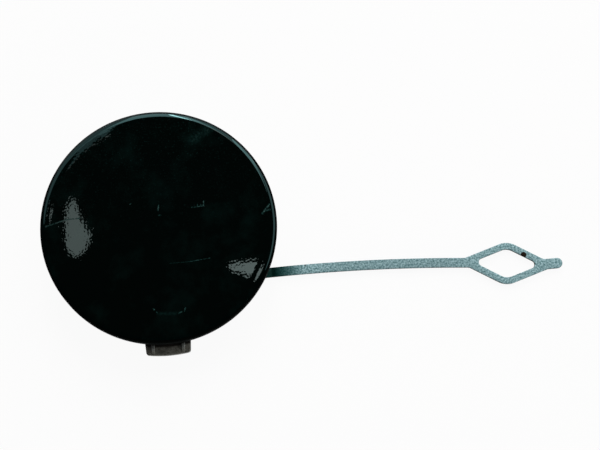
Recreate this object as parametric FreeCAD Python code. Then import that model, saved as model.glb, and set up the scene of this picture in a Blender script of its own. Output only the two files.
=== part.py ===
"""Round tow hook cover: a snap-in cap for a bumper's towing-eye hole, moulded in one piece with its strap.

Frame: the origin is on the cap's axis in the seat plane, where the rim lies on the bumper skin.
+Z points out of the bumper, -Y to the retaining foot and +X along the strap. Millimetres.
"""

import FreeCAD
import Part

import math
import os

Vector = FreeCAD.Vector
AXIS = Vector(0, 0, 1)
ORIGIN = Vector(0, 0, 0)

# Face and rim
face_diameter = 76.0        # outside of the rim
face_crown = 1.2            # rise of the dome above the rim
face_wall = 2.2             # thickness of the face
rim_height = 4.6            # seat plane to the dome's edge
rim_wall = 1.8              # width of the ring that lies on the bumper
edge_radius = 2.0           # rounding between the dome and the rim

# Collar that enters the bumper's hole
collar_diameter = 66.0      # outside
collar_wall = 1.6
collar_depth = 11.0         # seat plane to the rear edge
collar_lead_in = 0.7        # chamfer on the rear edge
centring_rib_angles = (10.0, 50.0, 130.0, 170.0, 230.0, 310.0)   # degrees from +X
centring_rib_width = 1.2
centring_rib_height = 0.5
centring_rib_lead_in = 1.4  # length of the rib's sloping end

# Gap behind the seat plane that takes the bumper skin
skin_gap = 3.2

# Retaining foot, which hooks behind the skin
foot_reach = 41.0           # axis to the foot's edge
foot_width = 14.2           # at the edge
foot_taper = 4.0            # degrees that each side leans in
foot_thickness = 2.0
foot_corner_radius = 0.9
foot_rib_spacing = 9.7      # between the middles of the two ribs
foot_rib_width = 1.1
foot_rib_height = 0.7
foot_rib_lead_in = 1.6      # length of the rib's sloping end
gusset_reach = 27.0         # axis to the wall that ties the two gussets

# Snap clip opposite the foot
clip_width = 11.0
clip_slot = 1.4             # gap on each side that frees the arm
clip_root = 1.4             # solid collar between the face and the slots
barb_height = 1.5
barb_land = 0.8             # flat crest of the barb
barb_release = 0.5          # drop of the catch over the barb's height, so the cover can be pulled off

# Strap
strap_width = 3.15
strap_thickness = 1.3
strap_offset = 16.15        # axis to the strap's middle where it leaves the collar
strap_heading = 2.1         # degrees from +X at the collar
strap_bow_radius = 606.0    # sideways bow
strap_length = 72.6         # collar to the loop's neck
strap_root_radius = 1.5

# Loop at the strap's end, a rhombus that folds flat to pass its anchor hole
loop_length = 33.2          # between the outer corners before they are rounded
loop_width = 15.05          # between the side corners before they are rounded
loop_arm = 2.2
loop_turn = -2.4            # degrees from the strap's end to the loop's axis
loop_step = 0.37            # sideways from the strap's middle to the loop's axis
loop_side_radius = 4.3      # inside of the two side corners
loop_end_radius = 1.35      # inside of the two end corners
loop_neck_radius = 2.85     # hollows where strap and tab meet the loop

# Pull tab
tab_width = 3.4
tab_length = 5.8            # neck to the round end
tab_turn = 7.9              # degrees from the loop's axis to the tab
tab_step = 0.33             # sideways from the loop's axis to the tab's middle

# How far one feature runs into the next before they are joined
joining_overlap = 0.6

rim_radius = face_diameter / 2
collar_radius = collar_diameter / 2
collar_inside = collar_radius - collar_wall
collar_wall_middle = collar_radius - collar_wall / 2
dome_radius = (rim_radius**2 + face_crown**2) / (2 * face_crown)
dome_centre = rim_height + face_crown - dome_radius
foot_top = -skin_gap - foot_rib_height
foot_bottom = foot_top - foot_thickness
strap_bottom = -collar_depth + collar_lead_in
loop_half_angle = math.degrees(math.atan2(loop_width, loop_length))


def dome_z(radius, depth=0.0):
    """Height of the dome at a radius, or of the sphere that lies depth under it."""
    return dome_centre + math.sqrt((dome_radius - depth) ** 2 - radius**2)


def heading(degrees):
    """Unit vector in the seat plane."""
    return Vector(math.cos(math.radians(degrees)), math.sin(math.radians(degrees)), 0)


def revolved(points):
    """Solid of a closed outline of (radius, z) points, turned about the axis."""
    outline = [Vector(r, 0, z) for r, z in points]
    face = Part.Face(Part.makePolygon(outline + outline[:1]))
    return face.revolve(ORIGIN, AXIS, 360)


def upright_prism(edges, z_low, z_high):
    """Solid over a closed outline of edges drawn at z = 0."""
    face = Part.Face(Part.Wire(edges))
    face.translate(Vector(0, 0, z_low))
    return face.extrude(Vector(0, 0, z_high - z_low))


def polygon_edges(points):
    return Part.makePolygon(list(points) + [points[0]]).Edges


def side_plate(points, x_middle, width):
    """Plate of a closed outline of (y, z) points, width thick in X."""
    outline = [Vector(x_middle - width / 2, y, z) for y, z in points]
    return Part.Face(Part.makePolygon(outline + outline[:1])).extrude(Vector(width, 0, 0))


def box(x_low, x_high, y_low, y_high, z_low, z_high):
    return Part.makeBox(x_high - x_low, y_high - y_low, z_high - z_low, Vector(x_low, y_low, z_low))


def upright_edges(solid, places, reach):
    """Edges parallel to the axis that stand within reach of any of the places."""
    found = []
    for edge in solid.Edges:
        ends = [vertex.Point for vertex in edge.Vertexes]
        if len(ends) != 2 or math.hypot(ends[0].x - ends[1].x, ends[0].y - ends[1].y) > 1e-4:
            continue
        if any(math.hypot(ends[0].x - p.x, ends[0].y - p.y) < reach for p in places):
            found.append(edge)
    return found


def line_crossing(start_a, along_a, start_b, along_b):
    """Where two lines in the seat plane cross."""
    apart = start_b - start_a
    travel = (apart.x * along_b.y - apart.y * along_b.x) / (along_a.x * along_b.y - along_a.y * along_b.x)
    return start_a + along_a * travel


def make_face():
    """Domed face with its rim: two concentric arcs and a rounded edge, turned about the axis."""
    inside = rim_radius - rim_wall
    crown = Vector(0, 0, dome_z(0))
    crown_back = Vector(0, 0, dome_z(0, face_wall))
    shoulder_back = Vector(inside, 0, dome_z(inside, face_wall))

    # The edge's arc touches both the dome and the rim
    edge_middle = Vector(rim_radius - edge_radius, 0, dome_z(rim_radius - edge_radius, edge_radius))
    from_dome = (edge_middle - Vector(0, 0, dome_centre)).normalize()
    to_rim = Vector(1, 0, 0)
    between = (from_dome + to_rim).normalize()
    on_dome = edge_middle + from_dome * edge_radius
    on_rim = edge_middle + to_rim * edge_radius

    dome = Part.Arc(crown, Vector(on_dome.x / 2, 0, dome_z(on_dome.x / 2)), on_dome)
    edge = Part.Arc(on_dome, edge_middle + between * edge_radius, on_rim)
    rim = Part.makePolygon([on_rim, Vector(rim_radius, 0, 0), Vector(inside, 0, 0), shoulder_back])
    ceiling = Part.Arc(shoulder_back, Vector(inside / 2, 0, dome_z(inside / 2, face_wall)), crown_back)
    middle = Part.makeLine(crown_back, crown)
    profile = Part.Wire([dome.toShape(), edge.toShape(), *rim.Edges, ceiling.toShape(), middle])
    return Part.Face(profile).revolve(ORIGIN, AXIS, 360)


def make_collar():
    """Ring behind the face, with a lead-in at its rear edge and small ribs that centre it in the hole."""
    top = dome_z(collar_radius, face_wall) + joining_overlap
    chamfer_top = -collar_depth + collar_lead_in
    collar = revolved([
        (collar_inside, -collar_depth),
        (collar_radius - collar_lead_in, -collar_depth),
        (collar_radius, chamfer_top),
        (collar_radius, top),
        (collar_inside, top),
    ])
    rib_outline = [
        (collar_wall_middle, chamfer_top),
        (collar_radius, chamfer_top),
        (collar_radius + centring_rib_height, chamfer_top + centring_rib_lead_in),
        (collar_radius + centring_rib_height, top),
        (collar_wall_middle, top),
    ]
    rib = side_plate(rib_outline, 0, centring_rib_width)
    ribs = []
    for angle in centring_rib_angles:
        placed = rib.copy()
        placed.rotate(ORIGIN, AXIS, angle - 90)
        ribs.append(placed)
    return collar.multiFuse(ribs)


def cut_clip_slots(collar):
    """Two slots from the rear edge that leave a springy arm between them."""
    slot_top = dome_z(collar_radius, face_wall) - clip_root
    outside = collar_radius + centring_rib_height + joining_overlap
    for side in (-1, 1):
        middle = side * (clip_width + clip_slot) / 2
        slot = box(
            middle - clip_slot / 2, middle + clip_slot / 2,
            0, outside,
            -collar_depth - joining_overlap, slot_top,
        )
        collar = collar.cut(slot)
    return collar


def make_barb():
    """Catch on the outside of the arm: a wedge turned about the axis over the arm's width."""
    crest = collar_radius + barb_height
    ramp_end = -collar_depth + collar_lead_in
    outline = [
        Vector(collar_wall_middle, 0, -skin_gap),
        Vector(collar_radius, 0, -skin_gap),
        Vector(crest, 0, -skin_gap - barb_release),
        Vector(crest, 0, -skin_gap - barb_release - barb_land),
        Vector(collar_radius, 0, ramp_end),
        Vector(collar_wall_middle, 0, ramp_end),
    ]
    half_angle = math.degrees(math.asin(clip_width / 2 / crest))
    wedge = Part.Face(Part.makePolygon(outline + outline[:1]))
    wedge.rotate(ORIGIN, AXIS, 90 - half_angle)
    return wedge.revolve(ORIGIN, AXIS, 2 * half_angle)


def make_foot():
    """Tongue that stands out behind the bumper skin, its edge concentric with the rim."""
    root_y = -collar_wall_middle
    half_edge = foot_width / 2
    edge_y = -math.sqrt(foot_reach**2 - half_edge**2)
    half_root = half_edge + (root_y - edge_y) * math.tan(math.radians(foot_taper))
    left, right = Vector(-half_edge, edge_y, 0), Vector(half_edge, edge_y, 0)
    edge = Part.Arc(left, Vector(0, -foot_reach, 0), right).toShape()
    sides = Part.makePolygon([right, Vector(half_root, root_y, 0), Vector(-half_root, root_y, 0), left])
    tongue = upright_prism([edge, *sides.Edges], foot_bottom, foot_top)
    return tongue.makeFillet(foot_corner_radius, upright_edges(tongue, [left, right], 1e-3))


def make_foot_ribs():
    """Two ribs on the foot that press on the skin, each carried on inside the collar as a gusset."""
    root = -collar_wall_middle
    tip = -math.sqrt(foot_reach**2 - (foot_rib_spacing / 2) ** 2) + foot_corner_radius / 2
    crest = foot_top + foot_rib_height
    ceiling = dome_z(gusset_reach, face_wall) + joining_overlap
    pieces = []
    for side in (-1, 1):
        middle = side * foot_rib_spacing / 2
        rib = [
            (root, foot_bottom),
            (root, crest),
            (tip + foot_rib_lead_in, crest),
            (tip, foot_top),
            (tip, foot_bottom),
        ]
        gusset = [
            (root, foot_bottom),
            (root, ceiling),
            (-gusset_reach, ceiling),
            (-gusset_reach, foot_bottom),
        ]
        pieces.append(side_plate(rib, middle, foot_rib_width))
        pieces.append(side_plate(gusset, middle, foot_rib_width))
    reach = (foot_rib_spacing + foot_rib_width) / 2
    pieces.append(box(-reach, reach, -gusset_reach, -gusset_reach + foot_rib_width, foot_bottom, ceiling))
    return pieces


def make_strap():
    """Flat strap with a slight bow, ending in the folding loop and its pull tab."""
    z_low, z_high = strap_bottom, strap_bottom + strap_thickness

    # The middle line: an arc that turns clockwise from the collar to the loop's neck
    start = Vector(math.sqrt(collar_wall_middle**2 - strap_offset**2), -strap_offset, 0)
    to_centre = heading(strap_heading - 90)
    bow_centre = start + to_centre * strap_bow_radius

    def on_bow(travel, radius):
        turned = strap_heading - math.degrees(travel / strap_bow_radius)
        return bow_centre - heading(turned - 90) * radius

    end_heading = strap_heading - math.degrees(strap_length / strap_bow_radius)
    loop_heading = end_heading + loop_turn
    tab_heading = loop_heading + tab_turn
    half_tan = math.tan(math.radians(loop_half_angle))
    strap_end = strap_length + strap_width

    # Its start is taken past the collar's wall and trimmed to the middle of that wall
    begin = -strap_width
    half_way = (begin + strap_end) / 2
    outer, inner = strap_bow_radius + strap_width / 2, strap_bow_radius - strap_width / 2
    far_side = Part.Arc(on_bow(begin, outer), on_bow(half_way, outer), on_bow(strap_end, outer)).toShape()
    near_side = Part.Arc(on_bow(begin, inner), on_bow(half_way, inner), on_bow(strap_end, inner)).toShape()
    root_edge = Part.makeLine(on_bow(begin, inner), on_bow(begin, outer))
    end_edge = Part.makeLine(on_bow(strap_end, outer), on_bow(strap_end, inner))
    strip = upright_prism([far_side, end_edge, near_side, root_edge], z_low, z_high)
    trim_low, trim_high = z_low - joining_overlap, z_high + joining_overlap
    strip = strip.cut(Part.makeCylinder(collar_wall_middle, trim_high - trim_low, Vector(0, 0, trim_low)))

    # The loop: a rhombus with its side corners rounded, and a smaller one cut out of it
    along, across = heading(loop_heading), heading(loop_heading + 90)
    neck = on_bow(strap_length, strap_bow_radius)
    corner = neck + across * loop_step - along * (strap_width / 2 / half_tan)
    middle = corner + along * (loop_length / 2)

    def rhombus(half_width, side_radius, end_radius, low, high):
        half_length = half_width / half_tan
        ends = [middle + along * half_length, middle - along * half_length]
        sides = [middle + across * half_width, middle - across * half_width]
        solid = upright_prism(polygon_edges([ends[0], sides[0], ends[1], sides[1]]), low, high)
        solid = solid.makeFillet(side_radius, upright_edges(solid, sides, 1e-3))
        if end_radius:
            solid = solid.makeFillet(end_radius, upright_edges(solid, ends, 1e-3))
        return solid

    half_width = loop_width / 2
    inner_half_width = half_width - loop_arm / math.cos(math.radians(loop_half_angle))
    ring = rhombus(half_width, loop_side_radius + loop_arm, 0, z_low, z_high)
    opening = rhombus(inner_half_width, loop_side_radius, loop_end_radius, trim_low, trim_high)

    # The tab: parallel sides and a round end, from inside the loop's last corner
    last_corner = corner + along * loop_length
    tab_along, tab_across = heading(tab_heading), heading(tab_heading + 90)
    tab_half = tab_width / 2
    last_neck = last_corner + across * tab_step - along * (tab_half / half_tan)
    tab_start = last_neck - tab_along * tab_width
    round_centre = last_neck + tab_along * (tab_length - tab_half)
    corners = [tab_start + tab_across * tab_half, round_centre + tab_across * tab_half]
    corners += [round_centre - tab_across * tab_half, tab_start - tab_across * tab_half]
    tip = round_centre + tab_along * tab_half
    round_end = Part.Arc(corners[1], tip, corners[2]).toShape()
    tab_edges = [Part.makeLine(corners[0], corners[1]), round_end]
    tab_edges += [Part.makeLine(corners[2], corners[3]), Part.makeLine(corners[3], corners[0])]
    tab = upright_prism(tab_edges, z_low, z_high)

    strap = strip.multiFuse([ring, tab]).cut(opening).removeSplitter()

    # Hollows at the four necks
    necks = []
    for side in (-1, 1):
        strap_edge = neck + heading(end_heading + 90) * (side * strap_width / 2)
        first_side = heading(loop_heading + side * loop_half_angle)
        necks.append(line_crossing(strap_edge, heading(end_heading), corner, first_side))
        tab_edge = round_centre + tab_across * (side * tab_half)
        last_side = heading(loop_heading - side * loop_half_angle)
        necks.append(line_crossing(tab_edge, tab_along, last_corner, last_side))
    return strap.makeFillet(loop_neck_radius, upright_edges(strap, necks, 0.2))


def round_strap_root(cover):
    """Rounds the two inside corners where the strap leaves the collar."""
    places = []
    for side in (-1, 1):
        y = -strap_offset + side * strap_width / 2
        places.append(Vector(math.sqrt(collar_radius**2 - y**2), y, 0))
    near_strap = strap_width / 3
    roots = [
        edge
        for edge in upright_edges(cover, places, near_strap)
        if max(vertex.Point.z for vertex in edge.Vertexes) < strap_bottom + strap_thickness + 1e-3
    ]
    return cover.makeFillet(strap_root_radius, roots)


def make_cover():
    collar = cut_clip_slots(make_collar())
    pieces = [collar, make_barb(), make_foot(), *make_foot_ribs(), make_strap()]
    cover = make_face().multiFuse(pieces).removeSplitter()
    return round_strap_root(cover)


cover = make_cover()
os.makedirs("parts", exist_ok=True)
cover.exportStep("parts/tow_hook_cover.step")
print("solids", len(cover.Solids), "valid", cover.isValid(), "volume mm3", round(cover.Volume, 1))
print("box", cover.BoundBox)
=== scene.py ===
import math

import bmesh
import bpy
import numpy as np
from mathutils import Matrix, Vector


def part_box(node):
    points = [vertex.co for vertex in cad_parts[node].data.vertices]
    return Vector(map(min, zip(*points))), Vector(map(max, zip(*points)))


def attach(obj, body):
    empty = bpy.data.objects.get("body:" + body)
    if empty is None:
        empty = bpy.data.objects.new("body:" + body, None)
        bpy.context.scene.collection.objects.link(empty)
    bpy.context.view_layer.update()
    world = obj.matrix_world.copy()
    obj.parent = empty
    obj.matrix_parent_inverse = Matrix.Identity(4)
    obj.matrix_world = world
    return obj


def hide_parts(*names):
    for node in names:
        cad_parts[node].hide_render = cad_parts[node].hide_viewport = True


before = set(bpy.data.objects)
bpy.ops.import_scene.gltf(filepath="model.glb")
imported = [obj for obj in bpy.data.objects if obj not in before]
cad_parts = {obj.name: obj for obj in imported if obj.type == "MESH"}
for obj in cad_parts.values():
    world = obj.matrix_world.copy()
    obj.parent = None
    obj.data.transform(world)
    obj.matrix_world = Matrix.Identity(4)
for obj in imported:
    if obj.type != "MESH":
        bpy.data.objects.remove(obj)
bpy.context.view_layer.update()        # one body, "root", and one node: the whole moulding

node = "tow_hook_cover"
mm = 0.001
boxLow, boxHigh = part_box(node)
rimRadius = boxHigh[1] / mm        # the rim's circle reaches furthest at +Y
crownTop = boxHigh[2] / mm
rearEdge = boxLow[2] / mm          # the collar's rear edge, which lies on the floor
weldDistance = 1e-7                # metres
shortestStep = 1e-5                # millimetres between neighbours on an outline
nearlyStraight = 89.9              # degrees: a corner counts as straight when half its angle is over this
edgeSteps = 4                      # rows round each broken edge


# Meshes

def gridQuads(rows, columns, closeRows=False, closeColumns=False):
    # point (i, j) has number i * columns + j, and a closed direction joins its last line to its first
    i = np.arange(rows if closeRows else rows - 1)
    j = np.arange(columns if closeColumns else columns - 1)
    i, j = np.meshgrid(i, j, indexing="ij")
    iNext, jNext = (i + 1) % rows, (j + 1) % columns
    corners = [i * columns + j, iNext * columns + j, iNext * columns + jNext, i * columns + jNext]
    return np.stack(corners, axis=-1).reshape(-1, 4).tolist()


def cappedTube(rows, columns):
    # closed rings side by side, with the first and the last one filled
    faces = gridQuads(rows, columns, closeColumns=True)
    faces.append(list(range(columns)))
    faces.append(list(range((rows - 1) * columns, rows * columns)))
    return faces


def gridPoints(x, y, z):
    return np.stack(np.broadcast_arrays(x, y, z), axis=-1).reshape(-1, 3)


def joined(parts):
    # several point and face lists as one, each list's numbers moved past those before it
    points, faces, count = [], [], 0
    for partPoints, partFaces in parts:
        points.append(partPoints)
        faces += [[index + count for index in face] for face in partFaces]
        count += len(partPoints)
    return np.concatenate(points), faces


def addPiece(name, points, faces, finishes, slot, sharpAngle=32, faceFinish=None):
    # points are in millimetres; equal ones are merged, which closes seams and poles, then faces turn outwards
    mesh = bpy.data.meshes.new(name)
    mesh.from_pydata((points * mm).tolist(), [], faces)
    for finish in finishes:
        mesh.materials.append(finish)
    if faceFinish is not None:
        mesh.polygons.foreach_set("material_index", faceFinish)
    shape = bmesh.new()
    shape.from_mesh(mesh)
    bmesh.ops.remove_doubles(shape, verts=shape.verts, dist=weldDistance)
    bmesh.ops.dissolve_degenerate(shape, edges=shape.edges, dist=weldDistance)
    bmesh.ops.recalc_face_normals(shape, faces=shape.faces)
    shape.to_mesh(mesh)
    shape.free()

    # flat caps with many corners stay flat, everything else is smooth up to the sharp angle
    corners = np.empty(len(mesh.polygons), dtype=np.int32)
    mesh.polygons.foreach_get("loop_total", corners)
    mesh.polygons.foreach_set("use_smooth", corners <= 4)
    mesh.set_sharp_from_angle(angle=math.radians(sharpAngle))
    piece = bpy.data.objects.new(name, mesh)
    bpy.context.scene.collection.objects.link(piece)
    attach(piece, "root")
    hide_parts(node)
    print("made", name, "with", len(mesh.polygons), "faces")
    return piece


def direction(degrees):
    turned = np.radians(degrees)
    return np.stack([np.cos(turned), np.sin(turned)], axis=-1)


def unit(vectors):
    return vectors / np.linalg.norm(vectors, axis=-1, keepdims=True)


def roundedOutline(corners, radii, arcSteps):
    # each corner becomes an arc that touches its two sides: it starts radius / tan(half the corner) away from
    # the corner, and its middle lies on the corner's bisector, radius / sin(half the corner) away
    corners = np.asarray(corners, float)
    radii = np.asarray(radii, float)[:, None]
    back = unit(np.roll(corners, 1, axis=0) - corners)
    ahead = unit(np.roll(corners, -1, axis=0) - corners)
    half = np.arccos(np.clip((back * ahead).sum(1, keepdims=True), -1, 1)) / 2
    straight = half > math.radians(nearlyStraight)
    bisector = np.where(straight, 0, (back + ahead) / (2 * np.cos(half)))
    middle = corners + bisector * radii / np.sin(half)
    first = corners + back * radii / np.tan(half)
    turn = -back[:, :1] * ahead[:, 1:] + back[:, 1:] * ahead[:, :1]
    sweep = np.sign(turn) * (math.pi - 2 * half)
    startAngle = np.arctan2(first[:, 1:] - middle[:, 1:], first[:, :1] - middle[:, :1])
    angle = startAngle + sweep * np.linspace(0, 1, arcSteps)[None, :]
    arcs = middle[:, None, :] + radii[:, None, :] * np.stack([np.cos(angle), np.sin(angle)], axis=-1)
    points = arcs.reshape(-1, 2)
    gaps = np.linalg.norm(points - np.roll(points, 1, axis=0), axis=1)
    return points[gaps > shortestStep]


def insetOutline(outline, inset):
    # each point moves inwards along the bisector of its two sides' normals, by inset / cos(half the turn)
    along = unit(np.roll(outline, -1, axis=0) - outline)
    normal = np.stack([along[:, 1], -along[:, 0]], axis=-1)
    previous = np.roll(normal, 1, axis=0)
    bisector = unit(normal + previous)
    share = (bisector * normal).sum(1, keepdims=True)
    return outline - bisector * inset / share


def quarterRound(rounding, steps):
    # a broken edge, from the wall to the face: at angle a of the quarter it lies rounding * (1 - cos a) in
    # from the wall and rounding * (1 - sin a) from the face
    angle = np.linspace(0, math.pi / 2, steps + 1)
    return rounding * (1 - np.cos(angle)), rounding * (1 - np.sin(angle))


def edgeRings(outline, zLow, zHigh, rounding, inside=False):
    # a wall with quarter-round edges carried along an outline, from its lower face to its upper one
    insets, heights = quarterRound(rounding, edgeSteps)
    insets = np.concatenate([insets[::-1], insets]) * (-1 if inside else 1)
    levels = np.concatenate([zLow + heights[::-1], zHigh - heights])
    rings = [np.column_stack([insetOutline(outline, inset), np.full(len(outline), level)])
             for inset, level in zip(insets, levels)]
    return np.array(rings)


def flatMoulding(outline, zLow, zHigh, rounding):
    # a plate over an outline: the rounded wall, closed by the first and last rings
    rings = edgeRings(outline, zLow, zHigh, rounding)
    return rings.reshape(-1, 3), cappedTube(*rings.shape[:2])


# Materials

def linearColour(hexText):
    # sRGB to linear: value / 12.92 up to 0.04045, and above it the 2.4th power of (value + 0.055) / 1.055
    values = [int(hexText[k:k + 2], 16) / 255 for k in (1, 3, 5)]
    return [v / 12.92 if v <= 0.04045 else ((v + 0.055) / 1.055) ** 2.4 for v in values] + [1.0]


def plug(tree, added, values=None, links=None):
    # a node in links stands for its first output
    for key, value in (values or {}).items():
        added.inputs[key].default_value = value
    for key, source in (links or {}).items():
        socket = source.outputs[0] if isinstance(source, bpy.types.Node) else source
        tree.links.new(socket, added.inputs[key])


def addNode(tree, kind, values=None, links=None, **settings):
    added = tree.nodes.new("ShaderNode" + kind)
    for key, value in settings.items():
        setattr(added, key, value)
    plug(tree, added, values, links)
    return added


def newFinish(name):
    finish = bpy.data.materials.new(name)
    finish.use_nodes = True
    tree = finish.node_tree
    tree.nodes.clear()
    surface = addNode(tree, "BsdfPrincipled")
    addNode(tree, "OutputMaterial", None, {"Surface": surface})
    coords = addNode(tree, "TexCoord").outputs["Object"]
    return finish, tree, surface, coords


def perSize(millimetres):
    # scale that gives a pattern of this size on coordinates in metres
    return 1 / (millimetres * mm)


def layCoats(tree, base, coats):
    # coats of colour, each hiding those under it by its share; a colour is hex text or a socket
    for share, coat in coats:
        mix = addNode(tree, "Mix", None, {0: share}, data_type="RGBA")
        for number, colour in ((6, base), (7, coat)):        # the node's own numbers for its two colours
            if isinstance(colour, str):
                plug(tree, mix, {number: linearColour(colour)})
            else:
                plug(tree, mix, None, {number: colour})
        base = mix.outputs[2]
    return base


def lineMark(tree, coords, start, end, halfWidth, strength):
    # strength on the line from start to end, down to 0 at halfWidth from it: the share of the way along the
    # line, held between 0 and 1, gives the nearest place on it, and what is left from there is the distance
    start, end = np.asarray(start) * mm, np.asarray(end) * mm
    along = end - start
    fromStart = addNode(tree, "VectorMath", {1: start}, {0: coords}, operation="SUBTRACT")
    share = addNode(tree, "VectorMath", {1: along / (along @ along)}, {0: fromStart}, operation="DOT_PRODUCT")
    held = addNode(tree, "Clamp", None, {"Value": share.outputs["Value"]})
    nearest = addNode(tree, "VectorMath", {0: along}, {"Scale": held}, operation="SCALE")
    away = addNode(tree, "VectorMath", None, {0: fromStart, 1: nearest}, operation="DISTANCE")
    return addNode(tree, "MapRange", {"From Max": halfWidth * mm, "To Min": strength, "To Max": 0.0},
                   {"Value": away.outputs["Value"]}, interpolation_type="SMOOTHSTEP")


# Camera, fitted to the rim, the foot and the strap

camera = {
    "lens": 85.0,
    "sensor": 36.0,
    "tilt": 11.35,              # degrees from straight above
    "turn": -107.17,            # degrees from +X to where it leans
    "roll": -5.04,
    "distance": 460.8,
    "aim": (45.46, -2.59, 0.0),
    "clipStart": 10.0,
}


def cameraAxes():
    # back points from the aim to the camera; up is +Y as seen from there, and both are then rolled about back
    tilt, turn, roll = (math.radians(camera[key]) for key in ("tilt", "turn", "roll"))
    back = Vector((math.sin(tilt) * math.cos(turn), math.sin(tilt) * math.sin(turn), math.cos(tilt)))
    up = (Vector((0, 1, 0)) - back * back.y).normalized()
    right = up.cross(back)
    turnedRight = right * math.cos(roll) + up * math.sin(roll)
    turnedUp = up * math.cos(roll) - right * math.sin(roll)
    return turnedRight, turnedUp, back


cameraRight, cameraUp, cameraBack = cameraAxes()
cameraPlace = (Vector(camera["aim"]) + cameraBack * camera["distance"]) * mm
eye = bpy.data.cameras.new("photo_camera")
eye.lens = camera["lens"]
eye.sensor_width = camera["sensor"]
eye.clip_start = camera["clipStart"] * mm
eyeObject = bpy.data.objects.new("photo_camera", eye)
eyeObject.matrix_world = Matrix.LocRotScale(
    cameraPlace, Matrix((cameraRight, cameraUp, cameraBack)).transposed(), None)
bpy.context.scene.collection.objects.link(eyeObject)
bpy.context.scene.camera = eyeObject
bpy.context.scene.view_settings.view_transform = "Standard"
print("camera set")


# Painted cap: domed face with its rim

cap = {
    "crown": 1.2,
    "wall": 2.2,
    "rimWall": 1.8,
    "edgeRadius": 2.0,
    "seatRounding": 0.2,        # broken corners of the ring that lies on the bumper
    "grooveRadius": 35.3,       # faint hollow where the moulding cooled over its rim
    "grooveWidth": 1.0,
    "grooveDepth": 0.027,
    "grooveAngle": 164.0,       # deepest here and opposite, and gone half-way between
    "groovePower": 3,
    "sinkPlace": (1.5, -28.1),  # hollow on the face in front of the foot's gussets
    "sinkLength": 4.9,
    "sinkWidth": 0.55,
    "sinkDepth": 0.03,
    "sinkEnd": 0.5,
    "edgeTintFrom": 36.3,       # where the edge's paint starts, from the axis
    "edgeTintSwell": 2.3,       # it starts this much further in on one side
    "edgeTintAngle": 122.0,
    "edgeTintPower": 4,
    "glossLimit": 4.25,         # height on the rounded edge where the clear coat runs out
    "glossSwing": 0.1,          # it reaches this much lower at the back than at the sides
    "sharpAngle": 50,
    "columns": 480,
    "domeRows": 130,
    "edgeRows": 31,
    "seatRows": 3,
    "ceilingRows": 10,
}
domeRadius = (rimRadius ** 2 + cap["crown"] ** 2) / (2 * cap["crown"])
domeCentre = crownTop - domeRadius


def domeHeight(radius, depth=0.0):
    # the sphere through the crown and the rim, or the concentric one that lies depth under it
    return domeCentre + np.sqrt((domeRadius - depth) ** 2 - np.square(radius))


def faceHollows(x, y):
    # a ring-shaped hollow just inside the rim, its depth a power of the cosine of twice the angle where that
    # is above zero, and a short bar-shaped one over the foot; both are bell curves
    radius = np.hypot(x, y)
    turned = np.arctan2(y, x) - math.radians(cap["grooveAngle"])
    depth = cap["grooveDepth"] * np.maximum(np.cos(2 * turned), 0) ** cap["groovePower"]
    groove = depth * np.exp(-np.square((radius - cap["grooveRadius"]) / cap["grooveWidth"]))
    sinkX, sinkY = cap["sinkPlace"]
    across = (y - sinkY) / cap["sinkWidth"]
    beyond = np.maximum(np.abs(x - sinkX) - cap["sinkLength"], 0) / cap["sinkEnd"]
    return groove + cap["sinkDepth"] * np.exp(-np.square(across) - np.square(beyond))


def paintedCap(gloss, edgeGloss, drySpray, bare):
    # a closed profile of (radius, z) carried round the axis: x = radius cos a, y = radius sin a; it is gloss
    # on the face and round the edge down to the gloss limit, dry down the rim, and bare on the side that
    # faces the bumper
    inside = rimRadius - cap["rimWall"]
    edge = cap["edgeRadius"]
    edgeMiddleR = rimRadius - edge
    edgeMiddleZ = domeHeight(edgeMiddleR, edge)
    lean = math.atan2(edgeMiddleZ - domeCentre, edgeMiddleR)
    edgeAngles = np.linspace(lean, 0, cap["edgeRows"])
    insets, heights = quarterRound(cap["seatRounding"], cap["seatRows"])
    domeR = np.linspace(0, edgeMiddleR + edge * math.cos(lean), cap["domeRows"])[:-1]
    ceilingR = np.linspace(inside, 0, cap["ceilingRows"])
    profileR, profileZ = np.concatenate([
        (domeR, domeHeight(domeR)),
        (edgeMiddleR + edge * np.cos(edgeAngles), edgeMiddleZ + edge * np.sin(edgeAngles)),
        (rimRadius - insets, heights),
        (inside + heights, insets),
        (ceilingR, domeHeight(ceilingR, cap["wall"])),
    ], axis=1)
    around = np.linspace(0, 2 * math.pi, cap["columns"], endpoint=False)
    x = profileR[:, None] * np.cos(around)
    y = profileR[:, None] * np.sin(around)
    z = np.repeat(profileZ[:, None], len(around), axis=1)
    outerRows = slice(0, len(domeR) + len(edgeAngles))
    z[outerRows] -= faceHollows(x[outerRows], y[outerRows])

    row = np.arange(len(profileR) - 1)[:, None]
    firstBare = len(profileR) - len(ceilingR) - len(insets) - 1
    rowHeight = (profileZ[:-1, None] + profileZ[1:, None]) / 2
    limit = cap["glossLimit"] - cap["glossSwing"] * np.sin(around)
    swell = np.maximum(np.cos(around - math.radians(cap["edgeTintAngle"])), 0) ** cap["edgeTintPower"]
    onEdge = profileR[:-1, None] > cap["edgeTintFrom"] - cap["edgeTintSwell"] * swell
    faceFinish = np.select([row >= firstBare, rowHeight <= limit, onEdge], [3, 2, 1], 0)
    return addPiece("painted_cap", gridPoints(x, y, z), gridQuads(*x.shape, closeColumns=True),
                    [gloss, edgeGloss, drySpray, bare], "painted_face", cap["sharpAngle"],
                    faceFinish.ravel().astype(np.int32))


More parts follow.
